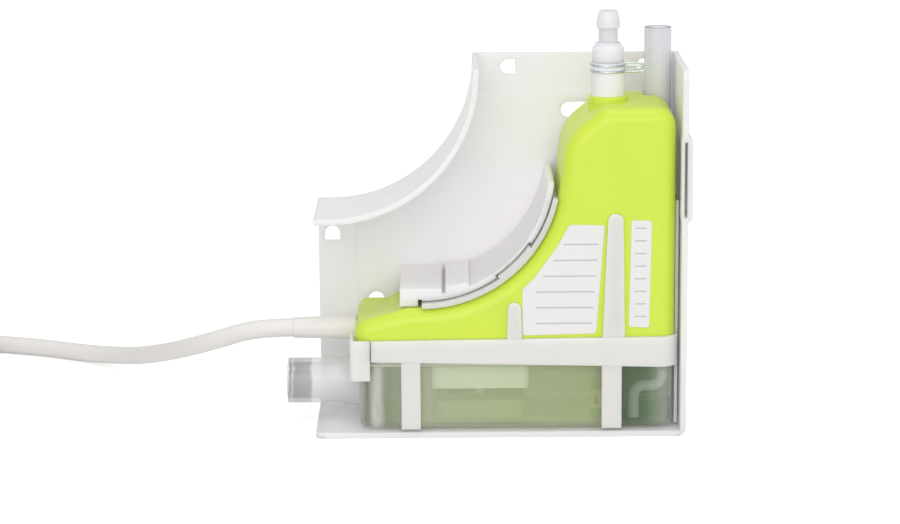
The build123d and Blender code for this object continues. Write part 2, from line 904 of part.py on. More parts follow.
with BuildPart() as outlet_valve_body:
    outlet_tube_high = sleeve_high - spigot_plug - butt_gap
    upright(cylinder_high - tube_socket, outlet_body_high, valve_body_radius)
    upright(outlet_body_high, outlet_tube_high, outlet_outer)
    upright(cylinder_high - tube_socket, cylinder_high, cylinder_outer + running_gap, mode=Mode.SUBTRACT)
    upright(cylinder_high, outlet_tube_high, outlet_bore, mode=Mode.SUBTRACT)
    upright(outlet_seat_up, outlet_guard_up + 1.0, chamber_radius, mode=Mode.SUBTRACT)
finish(outlet_valve_body.part, "outlet_valve_body")

with BuildPart() as upper_damper:
    upright(outlet_body_high, damper_high, damper_outer, outlet_outer + running_gap)
finish(upper_damper.part, "upper_damper")

# the two valve guards are the same pressing: a disc with a centre hole
with BuildPart() as valve_guards:
    upright(cylinder_low - guard_disc, cylinder_low, chamber_radius - running_gap, guard_hole)
    upright(outlet_guard_up, outlet_guard_up + guard_disc, chamber_radius - running_gap, guard_hole)
finish(valve_guards.part, "valve_guards")

for name, seat_up in [("inlet_valve", inlet_seat_up), ("outlet_valve", outlet_seat_up)]:
    with BuildPart() as valve:
        upright(seat_up, seat_up + valve_disc, valve_radius)
        upright(seat_up + valve_disc, seat_up + valve_disc + valve_stem, valve_stem_radius)
    finish(valve.part, name)

for name, seat_up, guard_up in [
    ("inlet_valve_spring", inlet_seat_up, cylinder_low - guard_disc),
    ("outlet_valve_spring", outlet_seat_up, outlet_guard_up),
]:
    with BuildPart() as valve_spring:
        spring(seat_up + valve_disc, guard_up, valve_spring_radius, valve_spring_wire, valve_spring_turns)
    finish(valve_spring.part, name)

with BuildPart() as piston:
    piston_high = piston_low + piston_length
    upright(piston_low, piston_high, cylinder_bore - running_gap, piston_bore)
    upright(piston_low, piston_low + piston_recess, cylinder_bore, piston_recess_radius, mode=Mode.SUBTRACT)
    upright(piston_high - piston_recess, piston_high, cylinder_bore, piston_recess_radius, mode=Mode.SUBTRACT)
finish(piston.part, "piston")

for name, low, high in [
    ("lower_spring", cylinder_low, piston_low + piston_recess),
    ("upper_spring", piston_high - piston_recess, cylinder_high),
]:
    with BuildPart() as main_spring:
        spring(low, high, cylinder_bore - cylinder_wall, spring_wire, main_spring_turns)
    finish(main_spring.part, name)

with BuildPart() as coil_bobbin:
    bobbin_bore = cylinder_outer + bobbin_gap
    bobbin_tube = bobbin_bore + bobbin_wall
    upright(coil_base, coil_top, bobbin_tube, bobbin_bore)
    upright(coil_base, coil_base + bobbin_flange, coil_outer, bobbin_bore)
    upright(coil_top - bobbin_flange, coil_top, coil_outer, bobbin_bore)
finish(coil_bobbin.part, "coil_bobbin")

with BuildPart() as coil_winding:
    upright(coil_base + bobbin_flange, coil_top - bobbin_flange, winding_outer, bobbin_tube)
finish(coil_winding.part, "coil_winding")

with BuildPart() as coil_yoke:
    yoke_half = coil_outer + yoke_gap + yoke_thickness
    yoke_out = (drive_out - yoke_width / 2, drive_out + yoke_width / 2)
    box_between(
        (drive_left - yoke_half, drive_left + yoke_half),
        (coil_base - yoke_thickness, coil_top + yoke_thickness),
        yoke_out,
    )
    box_between(
        (drive_left - coil_outer - yoke_gap, drive_left + coil_outer + yoke_gap),
        (coil_base, coil_top),
        yoke_out,
        mode=Mode.SUBTRACT,
    )
    upright(coil_base - 3, coil_top + 3, cylinder_outer + bobbin_gap, mode=Mode.SUBTRACT)
finish(coil_yoke.part, "coil_yoke")

# ---------------------------------------------------------------- outlet stack and vent
with BuildPart() as discharge_sleeve:
    sleeve_low = casing_top + boss_height
    upright(sleeve_low, sleeve_high, sleeve_outer, outlet_outer + running_gap)
    fillet(discharge_sleeve.faces().sort_by(Axis.Z)[-1].edges().sort_by(SortBy.LENGTH)[-1], 0.4)
finish(discharge_sleeve.part, "discharge_sleeve")

with BuildPart() as discharge_spigot:
    with BuildSketch(Plane(origin=place(drive_left, 0, drive_out), x_dir=(1, 0, 0), z_dir=(0, -1, 0))):
        with BuildLine():
            Polyline(
                (spigot_bore, sleeve_high - spigot_plug),
                (outlet_outer, sleeve_high - spigot_plug),
                (outlet_outer, sleeve_high),
                (spigot_shoulder, sleeve_high),
                (spigot_shoulder, spigot_shoulder_high - 1.6),
                (spigot_shoulder - 0.9, spigot_shoulder_high - 0.6),
                (spigot_shoulder - 0.9, spigot_shoulder_high),
                (spigot_neck, spigot_shoulder_high),
                (spigot_neck, spigot_neck_high),
                (barb_radius, spigot_neck_high),
                (barb_radius, spigot_neck_high + barb_land),
                (barb_tip_radius, spigot_high),
                (spigot_bore, spigot_high),
                close=True,
            )
        make_face()
    revolve(axis=Axis(place(drive_left, 0, drive_out), (0, 0, 1)))
finish(discharge_spigot.part, "discharge_spigot")

with BuildPart() as sleeve_clip:
    clip_ring = sleeve_outer + clip_wire / 2 + sleeve_gap
    ear_end = drive_left - clip_ring - clip_ear
    for turn in range(2):
        ring_up = clip_low + clip_wire / 2 + turn * clip_pitch
        with BuildSketch(Plane(origin=place(drive_left, 0, drive_out), x_dir=(1, 0, 0), z_dir=(0, -1, 0))):
            with Locations((clip_ring, ring_up)):
                RegularPolygon(clip_wire / 2, 8)
        revolve(axis=Axis(place(drive_left, 0, drive_out), (0, 0, 1)))
        ear_out = drive_out + (turn * 2 - 1) * clip_ear_half
        with BuildSketch(side_at(ear_end)):
            with Locations((ear_out, ring_up)):
                Circle(clip_wire * 0.45)
        extrude(amount=drive_left - clip_ring * 0.86 - ear_end)
    # the pinched tip that joins the two ears
    clip_tip = clip_wire * 0.8
    box_between(
        (ear_end - clip_tip / 2, ear_end + clip_tip / 2),
        (clip_low + clip_wire * 0.1, clip_low + clip_wire * 0.9 + clip_pitch),
        (drive_out - clip_ear_half - clip_tip / 2, drive_out + clip_ear_half + clip_tip / 2),
    )
finish(sleeve_clip.part, "sleeve_clip")

with BuildPart() as vent_tube:
    upright(casing_low, vent_high, vent_outer, vent_bore, centre=vent_axis)
    upright(casing_low, nipple_high + saddle_fit, vent_socket, centre=vent_axis, mode=Mode.SUBTRACT)
finish(vent_tube.part, "vent_tube")

with BuildPart() as overflow_elbow:
    elbow_left = casing_right + seal_width + elbow_outer + saddle_fit
    elbow_out = sensor_front - elbow_outer
    elbow_up = rim_low - elbow_drop
    with BuildLine() as elbow_path:
        FilletPolyline(
            place(elbow_left, rim_low, elbow_out),
            place(elbow_left, elbow_up, elbow_out),
            place(elbow_left + elbow_reach, elbow_up, elbow_out),
            place(elbow_left + elbow_reach, tank_floor + float_rest_gap, elbow_out),
            radius=elbow_radius,
        )
    with BuildSketch(Plane(origin=elbow_path.line @ 0, z_dir=(0, 0, -1))):
        Circle(elbow_outer)
        Circle(elbow_bore, mode=Mode.SUBTRACT)
    sweep()
finish(overflow_elbow.part, "overflow_elbow")

# ---------------------------------------------------------------- level sensor and float
float_centre = ((sensor_left + sensor_right) / 2, (sensor_front + sensor_back) / 2)
float_low = tank_floor + float_rest_gap
float_high = float_low + float_height

with BuildPart() as level_sensor:
    box_between((sensor_right, sensor_left), (sensor_low, rim_low), (sensor_back, sensor_front))
    fillet(level_sensor.edges().filter_by(Axis.Z), 2.0)
    upright(tank_floor + 0.3, sensor_low, float_guide, centre=float_centre)
finish(level_sensor.part, "level_sensor")

with BuildPart() as tank_float:
    extrude(
        rounded_plan(
            float_low,
            (sensor_right + float_margin, sensor_left - float_margin),
            (sensor_back + float_margin, sensor_front - float_margin),
            float_radius,
        ),
        amount=float_height,
    )
    fillet(tank_float.faces().sort_by(Axis.Z)[-1].edges(), 1.0)
    upright(float_low, float_high, float_guide + float_guide_gap, centre=float_centre, mode=Mode.SUBTRACT)
    magnet_centre = (float_centre[0] + 8.0, float_centre[1])
    upright(
        float_high - magnet_height,
        float_high,
        magnet_radius + running_gap,
        centre=magnet_centre,
        mode=Mode.SUBTRACT,
    )
finish(tank_float.part, "float")

with BuildPart() as float_magnet:
    upright(float_high - magnet_height, float_high, magnet_radius, centre=magnet_centre)
finish(float_magnet.part, "float_magnet")

# ---------------------------------------------------------------- electronics
with BuildPart() as circuit_board:
    box_between((board_right, board_left), (board_up, board_up + board_thickness), (board_back, board_front))
finish(circuit_board.part, "circuit_board")

board_top = board_up + board_thickness
with BuildPart() as capacitor:
    upright(board_top, board_top + capacitor_height, capacitor_radius, centre=capacitor_place)
    fillet(capacitor.faces().sort_by(Axis.Z)[-1].edges(), 0.6)
finish(capacitor.part, "capacitor")

with BuildPart() as relay:
    box_between(relay_left, (board_top, board_top + relay_height), relay_out)
    fillet(relay.faces().sort_by(Axis.Z)[-1].edges(), 0.5)
finish(relay.part, "relay")

with BuildPart() as terminal_block:
    terminal_top = board_top + terminal_height
    terminal_middle = board_top + terminal_height / 2
    screw_left = sum(terminal_left) / 2 - terminal_screw / 2
    box_between(terminal_left, (board_top, terminal_top), terminal_out)
    for pole_out in terminal_poles:
        screw_place = (screw_left, pole_out)
        upright(terminal_middle, terminal_top, terminal_screw, centre=screw_place, mode=Mode.SUBTRACT)
        with BuildSketch(side_at(screw_left + terminal_screw)):
            with Locations((pole_out, terminal_middle - terminal_hole / 2)):
                Circle(terminal_hole)
        extrude(amount=terminal_left[1] - screw_left - terminal_screw, mode=Mode.SUBTRACT)
finish(terminal_block.part, "terminal_block")

# ---------------------------------------------------------------- supply cord
with BuildPart() as cord_gland:
    with BuildSketch(face_at(cord_out)):
        with BuildLine():
            flange_right = casing_left - casing_wall - gland_flange_depth
            Polyline(
                (flange_right, cord_up),
                (flange_right, cord_up + gland_flange),
                (casing_left - casing_wall, cord_up + gland_flange),
                (casing_left - casing_wall, cord_up + gland_neck),
                (casing_left, cord_up + gland_neck),
                (casing_left, cord_up + gland_root_radius),
                (casing_left + gland_reach, cord_up + gland_tip_radius),
                (casing_left + gland_reach, cord_up),
                close=True,
            )
        make_face()
    revolve(axis=Axis(place(casing_left, cord_up, cord_out), (1, 0, 0)))
finish(cord_gland.part, "cord_gland")

cord_start = casing_left + gland_reach
cord_points = [
    (cord_start, cord_up, cord_out),
    (135.4, 31.0, 22.0),
    (149.0, 25.8, 17.5),
    (162.0, 19.2, 2.5),
    (172.5, 12.5, -19.0),
    (182.5, 6.5, -41.0),
    (198.0, 3.0, -58.5),
    (219.0, 3.0, -70.0),
    (242.0, 3.0, -77.0),
    (262.0, 3.0, -79.0),
]


def corner_radii(points):
    """Radius of each corner's arc: as large as its two runs allow."""
    radii = []
    for before, here, after in zip(points, points[1:], points[2:]):
        into = here - before
        away = after - here
        turn = radians(into.get_angle(away))
        radii.append(0.45 * min(into.length, away.length) / tan(turn / 2))
    return radii


cord_route = [place(*point) for point in cord_points]
cord_radii = corner_radii(cord_route)
with BuildPart() as supply_cord:
    with BuildLine() as cord_line:
        FilletPolyline(*cord_route, radius=cord_radii)
    with BuildSketch(Plane(origin=cord_line.line @ 0, z_dir=cord_line.line % 0)):
        Circle(cord_radius)
    sweep()
finish(supply_cord.part, "supply_cord")

with BuildPart() as supply_cord_coil:
    half_width = (coil_turns_wide + 1) * cord_radius
    coil_high = coil_turns_high * 2 * cord_radius
    coil_outside = coil_mean_radius + half_width
    upright(0, coil_high, coil_outside, coil_mean_radius - half_width, centre=coil_centre)
finish(supply_cord_coil.part, "supply_cord_coil")

# the free end comes off the outside of the top layer and drops to the floor beside the coil
tail_out = coil_centre[1] - coil_outside + cord_radius
tail_left = coil_centre[0] + tail_step * 0.75
tail_points = [
    (tail_left, coil_high - cord_radius, tail_out),
    (tail_left + tail_step, coil_high - cord_radius * 1.5, tail_out),
    (tail_left + tail_step * 2, cord_radius, tail_out),
    (tail_left + tail_step * 3, cord_radius, tail_out),
]
tail_route = [place(*point) for point in tail_points]
tail_radii = corner_radii(tail_route)
with BuildPart() as supply_cord_tail:
    with BuildLine() as tail_line:
        FilletPolyline(*tail_route, radius=tail_radii)
    with BuildSketch(Plane(origin=tail_line.line @ 0, z_dir=tail_line.line % 0)):
        Circle(cord_radius)
    sweep()
finish(supply_cord_tail.part, "supply_cord_tail")

with BuildPart() as cord_cores:
    with BuildSketch(Plane(origin=tail_line.line @ 1, z_dir=tail_line.line % 1)) as core_ends:
        with PolarLocations(core_radius * 1.3, 3):
            Circle(core_radius)
    extrude(core_ends.sketch, amount=core_length)
finish(cord_cores.part, "cord_cores")
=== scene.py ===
import json
import math

import bmesh
import bpy
from mathutils import Matrix, Vector


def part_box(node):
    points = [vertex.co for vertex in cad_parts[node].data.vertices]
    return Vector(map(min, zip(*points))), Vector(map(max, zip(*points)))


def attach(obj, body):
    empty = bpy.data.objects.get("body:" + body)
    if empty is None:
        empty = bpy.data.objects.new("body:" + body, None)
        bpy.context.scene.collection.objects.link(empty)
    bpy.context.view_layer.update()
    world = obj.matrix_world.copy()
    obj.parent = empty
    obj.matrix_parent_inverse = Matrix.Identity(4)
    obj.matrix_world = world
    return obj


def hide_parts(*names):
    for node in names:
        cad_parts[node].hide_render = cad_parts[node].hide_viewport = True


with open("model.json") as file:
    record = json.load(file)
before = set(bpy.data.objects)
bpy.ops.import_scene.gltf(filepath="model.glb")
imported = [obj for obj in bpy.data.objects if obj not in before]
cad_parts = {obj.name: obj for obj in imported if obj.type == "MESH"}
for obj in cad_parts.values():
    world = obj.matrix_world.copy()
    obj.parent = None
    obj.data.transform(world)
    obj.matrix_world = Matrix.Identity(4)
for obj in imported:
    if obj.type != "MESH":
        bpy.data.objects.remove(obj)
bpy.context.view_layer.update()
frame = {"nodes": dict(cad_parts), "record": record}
nodes = frame["nodes"]

# ---------------------------------------------------------------- places
# Places are measured as on the real part: `left` from the bracket's outer side towards the cord,
# `up` from its base, and `out` from its back plate towards the room, all in millimetres.
MM = 0.001
LOOP_PROUD = 1.4
BACK_PLATE = 2.0
bracket_low, bracket_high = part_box("wall_bracket")
RIGHT_X = bracket_high.x - LOOP_PROUD * MM
PLATE_Y = bracket_high.y - BACK_PLATE * MM


def place(left, up, out):
    """Point in the row frame, in metres."""
    return Vector((RIGHT_X - left * MM, PLATE_Y - out * MM, up * MM))


# ---------------------------------------------------------------- materials
EDGE_RADIUS = 0.0003
# Upright noise streaks that waver the edges of the tank's and spigot's painted light and shade bands.
STREAK_SCALE = 400
STREAK_STRETCH = (1.0, 1.0, 0.15)


def rgb(red, green, blue):
    """Linear colour of an 8-bit display colour."""
    def linear(value):
        value = value / 255
        return value / 12.92 if value <= 0.04045 else ((value + 0.055) / 1.055) ** 2.4

    return (linear(red), linear(green), linear(blue), 1.0)


def shaded(colour, factor):
    """The colour made darker or lighter."""
    return (*(min(channel * factor, 1.0) for channel in colour[:3]), 1.0)


class Finish:
    """A Principled material under construction."""

    def __init__(self, name, colour, roughness, **sockets):
        self.material = bpy.data.materials.new(name)
        self.material.use_nodes = True
        self.tree = self.material.node_tree
        self.shader = self.tree.nodes["Principled BSDF"]
        self.colour = colour
        self.shader.inputs["Base Color"].default_value = colour
        self.shader.inputs["Roughness"].default_value = roughness
        for socket, value in sockets.items():
            self.shader.inputs[socket.replace("_", " ")].default_value = value
        self.place = self.tree.nodes.new("ShaderNodeTexCoord").outputs["Object"]

    def node(self, kind, **settings):
        made = self.tree.nodes.new(kind)
        for name, value in settings.items():
            setattr(made, name, value)
        return made

    def link(self, output, target):
        self.tree.links.new(output, target)

    def noise(self, scale, detail=3.0, stretch=(1.0, 1.0, 1.0)):
        """Noise of `scale` features per metre, drawn out along an axis by a stretch below 1."""
        mapping = self.node("ShaderNodeMapping")
        mapping.inputs["Scale"].default_value = stretch
        self.link(self.place, mapping.inputs["Vector"])
        texture = self.node("ShaderNodeTexNoise")
        texture.inputs["Scale"].default_value = scale
        texture.inputs["Detail"].default_value = detail
        self.link(mapping.outputs["Vector"], texture.inputs["Vector"])
        return texture.outputs["Fac"]

    def ranged(self, value, low, high, to_low, to_high):
        """A value mapped from one range to another."""
        mapped = self.node("ShaderNodeMapRange")
        for name, number in (("From Min", low), ("From Max", high), ("To Min", to_low), ("To Max", to_high)):
            mapped.inputs[name].default_value = number
        self.link(value, mapped.inputs["Value"])
        return mapped.outputs["Result"]

    def mottled(self, scale, amount, stretch=(1.0, 1.0, 1.0)):
        """Faint clouds of darker and lighter colour."""
        mix = self.node("ShaderNodeMix", data_type="RGBA")
        clouds = self.ranged(self.noise(scale, stretch=stretch), 0.3, 0.7, 0.0, 1.0)
        self.link(clouds, mix.inputs["Factor"])
        mix.inputs["A"].default_value = shaded(self.colour, 1 - amount)
        mix.inputs["B"].default_value = shaded(self.colour, 1 + amount)
        self.link(mix.outputs["Result"], self.shader.inputs["Base Color"])
        return self

    def worn(self, scale, low, high):
        """Roughness that varies between two values."""
        gloss = self.ranged(self.noise(scale, 5.0), 0.3, 0.7, low, high)
        self.link(gloss, self.shader.inputs["Roughness"])
        return self

    def grained(self, scale, depth, strength=0.5, stretch=(1.0, 1.0, 1.0)):
        """Fine surface grain, `depth` in metres, on slightly softened edges."""
        bump = self.node("ShaderNodeBump")
        edge = self.node("ShaderNodeBevel", samples=4)
        edge.inputs["Radius"].default_value = EDGE_RADIUS
        self.link(edge.outputs["Normal"], bump.inputs["Normal"])
        bump.inputs["Strength"].default_value = strength
        bump.inputs["Distance"].default_value = depth
        self.link(self.noise(scale, 4.0, stretch), bump.inputs["Height"])
        self.link(bump.outputs["Normal"], self.shader.inputs["Normal"])
        return self

    def banded(self, inverse, stops, waver=1.0):
        """Base colour that changes along the part's width: stops are (left in mm, display colour).

        Upright streaks of noise shift the bands sideways by up to `waver` mm.
        """
        apart = self.node("ShaderNodeSeparateXYZ")
        self.link(self.place, apart.inputs["Vector"])
        streaks = self.ranged(self.noise(STREAK_SCALE, stretch=STREAK_STRETCH), 0.3, 0.7, -waver * MM, waver * MM)
        shifted = self.node("ShaderNodeMath", operation="ADD")
        self.link(apart.outputs["X"], shifted.inputs[0])
        self.link(streaks, shifted.inputs[1])
        first, last = stops[0][0], stops[-1][0]
        ends = [(inverse @ place(left, 0, 0)).x for left in (first, last)]
        along = self.ranged(shifted.outputs[0], ends[0], ends[1], 0.0, 1.0)
        ramp = self.node("ShaderNodeValToRGB")
        elements = ramp.color_ramp.elements
        elements[0].color = rgb(*stops[0][1])
        elements[-1].color = rgb(*stops[-1][1])
        for left, colour in stops[1:-1]:
            elements.new((first - left) / (first - last)).color = rgb(*colour)
        self.link(along, ramp.inputs["Fac"])
        self.link(ramp.outputs["Color"], self.shader.inputs["Base Color"])
        return self


def plastic(name, colour, roughness=0.32, cloud=0.01, grain=0.000004, **sockets):
    """Moulded plastic: faint clouds, uneven gloss and a fine spark-eroded grain."""
    finish = Finish(name, colour, roughness, **sockets)
    return finish.mottled(60, cloud).worn(180, roughness * 0.9, roughness * 1.12).grained(7000, grain)


def metal(name, colour, roughness=0.28):
    """Bright drawn wire or turned metal."""
    finish = Finish(name, colour, roughness, Metallic=1.0)
    return finish.mottled(900, 0.06).worn(1500, roughness * 0.7, roughness * 1.4)


WHITE = rgb(245, 242, 245)
STACK_WHITE = rgb(242, 239, 247)
SADDLE_WHITE = rgb(241, 238, 234)
LIME = rgb(211, 233, 72)
TRANSLUCENT = {"Subsurface_Weight": 0.8, "Subsurface_Scale": 0.005, "Subsurface_Radius": (1.0, 1.0, 1.0)}

# one finish for each material slot of the record
finishes = {
    "white_plastic": plastic("bracket_white", WHITE, 0.4, **TRANSLUCENT),
    "saddle_white": plastic("saddle_white", SADDLE_WHITE, 0.32, **TRANSLUCENT),
    "lime_plastic": plastic("casing_lime", LIME, 0.34, 0.012),
    "clear_plastic": plastic("tank_clear", rgb(190, 204, 150), 0.08, 0.005, 0.000002, Alpha=0.32),
    "guard_clear": plastic("guard_clear", rgb(246, 248, 240), 0.15, 0.005, Alpha=0.8, **TRANSLUCENT),
    "vent_clear": plastic("vent_clear", rgb(240, 239, 248), 0.35, 0.005, 0.000002, Alpha=0.75),
    "seal_rubber": plastic("seal_rubber", rgb(196, 204, 178), 0.55),
    "white_rubber": plastic("sleeve_rubber", STACK_WHITE, 0.5),
    "damper_rubber": plastic("damper_rubber", rgb(40, 40, 42), 0.6),
    "steel": metal("spring_steel", rgb(205, 212, 212)),
    "screw_steel": metal("screw_steel", rgb(180, 182, 186), 0.35),
    "copper_wire": metal("copper_wire", rgb(200, 120, 70), 0.3),
    "natural_plastic": plastic("natural_plastic", rgb(226, 224, 214), 0.4),
    "yoke_steel": metal("yoke_steel", rgb(120, 122, 126), 0.4),
    "sensor_white": plastic("sensor_white", rgb(252, 255, 246), 0.4),
    "float_foam": plastic("float_foam", rgb(150, 168, 120), 0.7, 0.06, 0.00006),
    "magnet": metal("magnet", rgb(90, 92, 96), 0.35),
    "board_green": plastic("board_green", rgb(20, 90, 50), 0.35),
    "component_black": plastic("component_black", rgb(30, 30, 34), 0.45),
    "terminal_green": plastic("terminal_green", rgb(40, 130, 70), 0.4),
    "cord_white": plastic("cord_white", rgb(234, 231, 227), 0.45),
    "core_colours": plastic("core_brown", rgb(110, 66, 40), 0.4),
    "valve_rubber": plastic("valve_rubber", rgb(70, 72, 78), 0.55),
}

# The tank's colour across its width, with painted light and shade: painted light and dark refraction streaks
# on its rounded corner, its pale green tint in the middle, painted shade in the bay behind the overflow and
# a lighter right edge.
TANK_TINT_AND_PAINTED_LIGHT_STOPS = [
    (103.0, (246, 248, 242)),
    (100.0, (112, 128, 98)),
    (97.0, (255, 255, 250)),
    (94.0, (166, 184, 144)),
    (86.0, (220, 230, 194)),
    (30.0, (208, 224, 164)),
    (19.0, (90, 122, 70)),
    (12.0, (112, 146, 96)),
    (4.0, (222, 230, 216)),
]
# The spigot's colour along its length, with painted light and shade: a painted highlight on its rim, painted
# shade in its open bore, a second painted highlight, its grey end and its clear root.
SPIGOT_TINT_AND_PAINTED_LIGHT_STOPS = [
    (125.5, (240, 238, 242)),
    (124.7, (130, 130, 136)),
    (123.9, (222, 222, 226)),
    (123.0, (168, 168, 174)),
    (118.4, (194, 194, 194)),
    (117.4, (246, 246, 248)),
    (103.0, (246, 246, 248)),
]
SPIGOT_WAVER = 0.6
tank_inverse = nodes["reservoir"].matrix_world.inverted()
finishes["clear_plastic"].banded(tank_inverse, TANK_TINT_AND_PAINTED_LIGHT_STOPS)
spigot_clear = plastic("spigot_clear", rgb(236, 234, 240), 0.04, 0.005, 0.000001, Alpha=0.5)
spigot_clear.banded(tank_inverse, SPIGOT_TINT_AND_PAINTED_LIGHT_STOPS, SPIGOT_WAVER)
elbow_clear = plastic("elbow_clear", rgb(240, 245, 244), 0.1, 0.005, 0.000001, Alpha=0.9)
# Painted shade for the vent tube's end and painted light for its bore.
tube_rim_painted_shade = plastic("tube_rim_painted_shade", rgb(168, 168, 176), 0.35)
tube_bore_painted_light = plastic("tube_bore_painted_light", rgb(250, 250, 254), 0.35)
stack_white = plastic("stack_white", STACK_WHITE, 0.4, **TRANSLUCENT)
label_paper = plastic("label_paper", rgb(236, 234, 234), 0.5)
label_rule = plastic("label_rule", rgb(196, 196, 198), 0.6)

# ---------------------------------------------------------------- materials of the CAD nodes
OWN_FINISH = {"overflow_elbow": elbow_clear, "discharge_spigot": stack_white}
SPIGOT_ROOT = 102.6
TUBE_BORE_RADIUS = 3.4
CORE_COLOURS = [(110, 66, 40), (52, 88, 160), (150, 176, 50)]


def dress_nodes():
    """Every node takes the finish of its slot, or one of its own."""
    slot_of = {row["node"]: row["material_slot"] for row in frame["record"]["subparts"]}
    for name, node in nodes.items():
        finish = OWN_FINISH.get(name, finishes[slot_of[name]])
        node.data.materials.clear()
        node.data.materials.append(finish.material)


def dress_spigot():
    """The inlet spigot is clearer than the tank it is moulded on."""
    tank = nodes["reservoir"]
    tank.data.materials.append(spigot_clear.material)
    for polygon in tank.data.polygons:
        if (tank.matrix_world @ polygon.center).x < place(SPIGOT_ROOT, 0, 0).x:
            polygon.material_index = 1


def dress_vent_tube():
    """The vent tube's end gets painted shade and its bore painted light, darker and lighter than its
    outside.
    """
    tube = nodes["vent_tube"]
    low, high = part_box("vent_tube")
    axis = (low + high) / 2
    for finish in (tube_rim_painted_shade, tube_bore_painted_light):
        tube.data.materials.append(finish.material)
    for polygon in tube.data.polygons:
        centre = tube.matrix_world @ polygon.center
        if polygon.normal.z > 0.9 and centre.z > high.z - MM:
            polygon.material_index = 1
        elif (centre - axis).xy.length < TUBE_BORE_RADIUS * MM:
            polygon.material_index = 2


def islands(mesh):
    """Numbers of the faces of each loose part of a mesh, in the order of their first faces."""
    made = bmesh.new()
    made.from_mesh(mesh)
    bmesh.ops.remove_doubles(made, verts=made.verts, dist=0.000001)
    made.faces.ensure_lookup_table()
    found = []
    seen = set()
    for first in made.faces:
        if first in seen:
            continue
        seen.add(first)
        waiting = [first]
        island = []
        while waiting:
            face = waiting.pop()
            island.append(face.index)
            for edge in face.edges:
                for other in edge.link_faces:
                    if other not in seen:
                        seen.add(other)
                        waiting.append(other)
        found.append(island)
    made.free()
    return found


def dress_cores():
    """Each of the cord's three cores has its own colour."""
    cores = nodes["cord_cores"].data
    cores.materials.clear()
    for number, colour in enumerate(CORE_COLOURS):
        cores.materials.append(plastic(f"core_{number}", rgb(*colour), 0.4).material)
    for number, island in enumerate(islands(cores)):
        for index in island:
            cores.polygons[index].material_index = number % len(CORE_COLOURS)


dress_nodes()
dress_spigot()
dress_vent_tube()
dress_cores()

# ---------------------------------------------------------------- shapes
OUTLINE_STEPS = 5


def added(name, data, material):
    """Object of a mesh or curve, in the scene, with one material."""
    data.materials.append(material)
    piece = bpy.data.objects.new(name, data)
    bpy.context.collection.objects.link(piece)
    return piece


def closed_mesh(name, made):
    """Mesh of a bmesh, with its faces turned outwards."""
    mesh = bpy.data.meshes.new(name)
    bmesh.ops.recalc_face_normals(made, faces=made.faces)
    made.to_mesh(mesh)
    made.free()
    return mesh


def rounded_outline(corners, radius):
    """Outline of a plate with each corner rounded."""
    outline = []
    count = len(corners)
    for index, corner in enumerate(corners):
        here = Vector(corner)
        before = (Vector(corners[index - 1]) - here).normalized()
        after = (Vector(corners[(index + 1) % count]) - here).normalized()
        start, end = here + before * radius, here + after * radius
        for step in range(OUTLINE_STEPS + 1):
            share = step / OUTLINE_STEPS
            outline.append((1 - share) ** 2 * start + 2 * share * (1 - share) * here + share ** 2 * end)
    return outline


def plate(name, outline, low, high, material):
    """Thin plate with a (left, up) outline between two distances from the wall."""
    made = bmesh.new()
    back = [made.verts.new(place(point[0], point[1], low)) for point in outline]
    front = [made.verts.new(place(point[0], point[1], high)) for point in outline]
    made.faces.new(front)
    made.faces.new(back[::-1])
    for index in range(len(outline)):
        after = (index + 1) % len(outline)
        made.faces.new((back[index], back[after], front[after], front[index]))
    return added(name, closed_mesh(name, made), material)


def on_ring(centre, radius, angle, up):
    """Point of a level circle about a (left, out) centre."""
    return (centre[0] + radius * math.cos(angle), up, centre[1] + radius * math.sin(angle))


def round_curve(name, points, radius, material, closed=False):
    """Smooth round cord or wire along control points."""
    data = bpy.data.curves.new(name, "CURVE")
    data.dimensions = "3D"
    data.bevel_depth = radius
    data.bevel_resolution = 6
    data.resolution_u = 8
    data.use_fill_caps = True
    spline = data.splines.new("NURBS")
    spline.points.add(len(points) - 1)
    for control, point in zip(spline.points, points):
        control.co = (*place(*point), 1.0)
    spline.order_u = 3
    spline.use_endpoint_u = not closed
    spline.use_cyclic_u = closed
    return added(name, data, material)


# ---------------------------------------------------------------- bare labels with plain rules
CASING_FRONT = 41.0
LABEL_THICK = 0.12
LABEL_CORNER = 1.0
RULE_THICK = 0.02
RULE_HIGH = 0.35
LABELS = {
    "rating_label": [
        (36.5, 67.4), (25.5, 67.2), (28.1, 32.8), (51.1, 32.3), (51.1, 47.0), (47.4, 50.6), (40.2, 60.6),
    ],
    "serial_label": [(17.3, 68.7), (10.9, 68.5), (11.6, 34.5), (18.0, 34.9)],
}
RATING_RULE_UPS = range(36, 62, 5)
SERIAL_RULE_UPS = range(38, 67, 4)
SERIAL_RULE_ENDS = (12.6, 16.2)
LABEL_BEND_UP = 47


def rating_rule_ends(up):
    """Right and left end of a rule, inside the rating label's leaning sides."""
    return 27.6 + 0.075 * (60 - up), 47 - max(up - LABEL_BEND_UP, 0) * 0.62


RULES = {
    "rating_label": [(*rating_rule_ends(up), up) for up in RATING_RULE_UPS],
    "serial_label": [(*SERIAL_RULE_ENDS, up) for up in SERIAL_RULE_UPS],
}


def label_with_rules(name):
    """Label and its rules, on the casing's front."""
    face = CASING_FRONT + LABEL_THICK
    outline = rounded_outline(LABELS[name], LABEL_CORNER)
    pieces = [plate(name, outline, CASING_FRONT, face, label_paper.material)]
    for count, (right, left, up) in enumerate(RULES[name]):
        corners = [(left, up), (right, up), (right, up + RULE_HIGH), (left, up + RULE_HIGH)]
        rule = plate(f"{name}_rule_{count}", corners, face, face + RULE_THICK, label_rule.material)
        pieces.append(rule)
    return pieces


for name in LABELS:
    for piece in label_with_rules(name):
        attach(piece, "pump_unit")

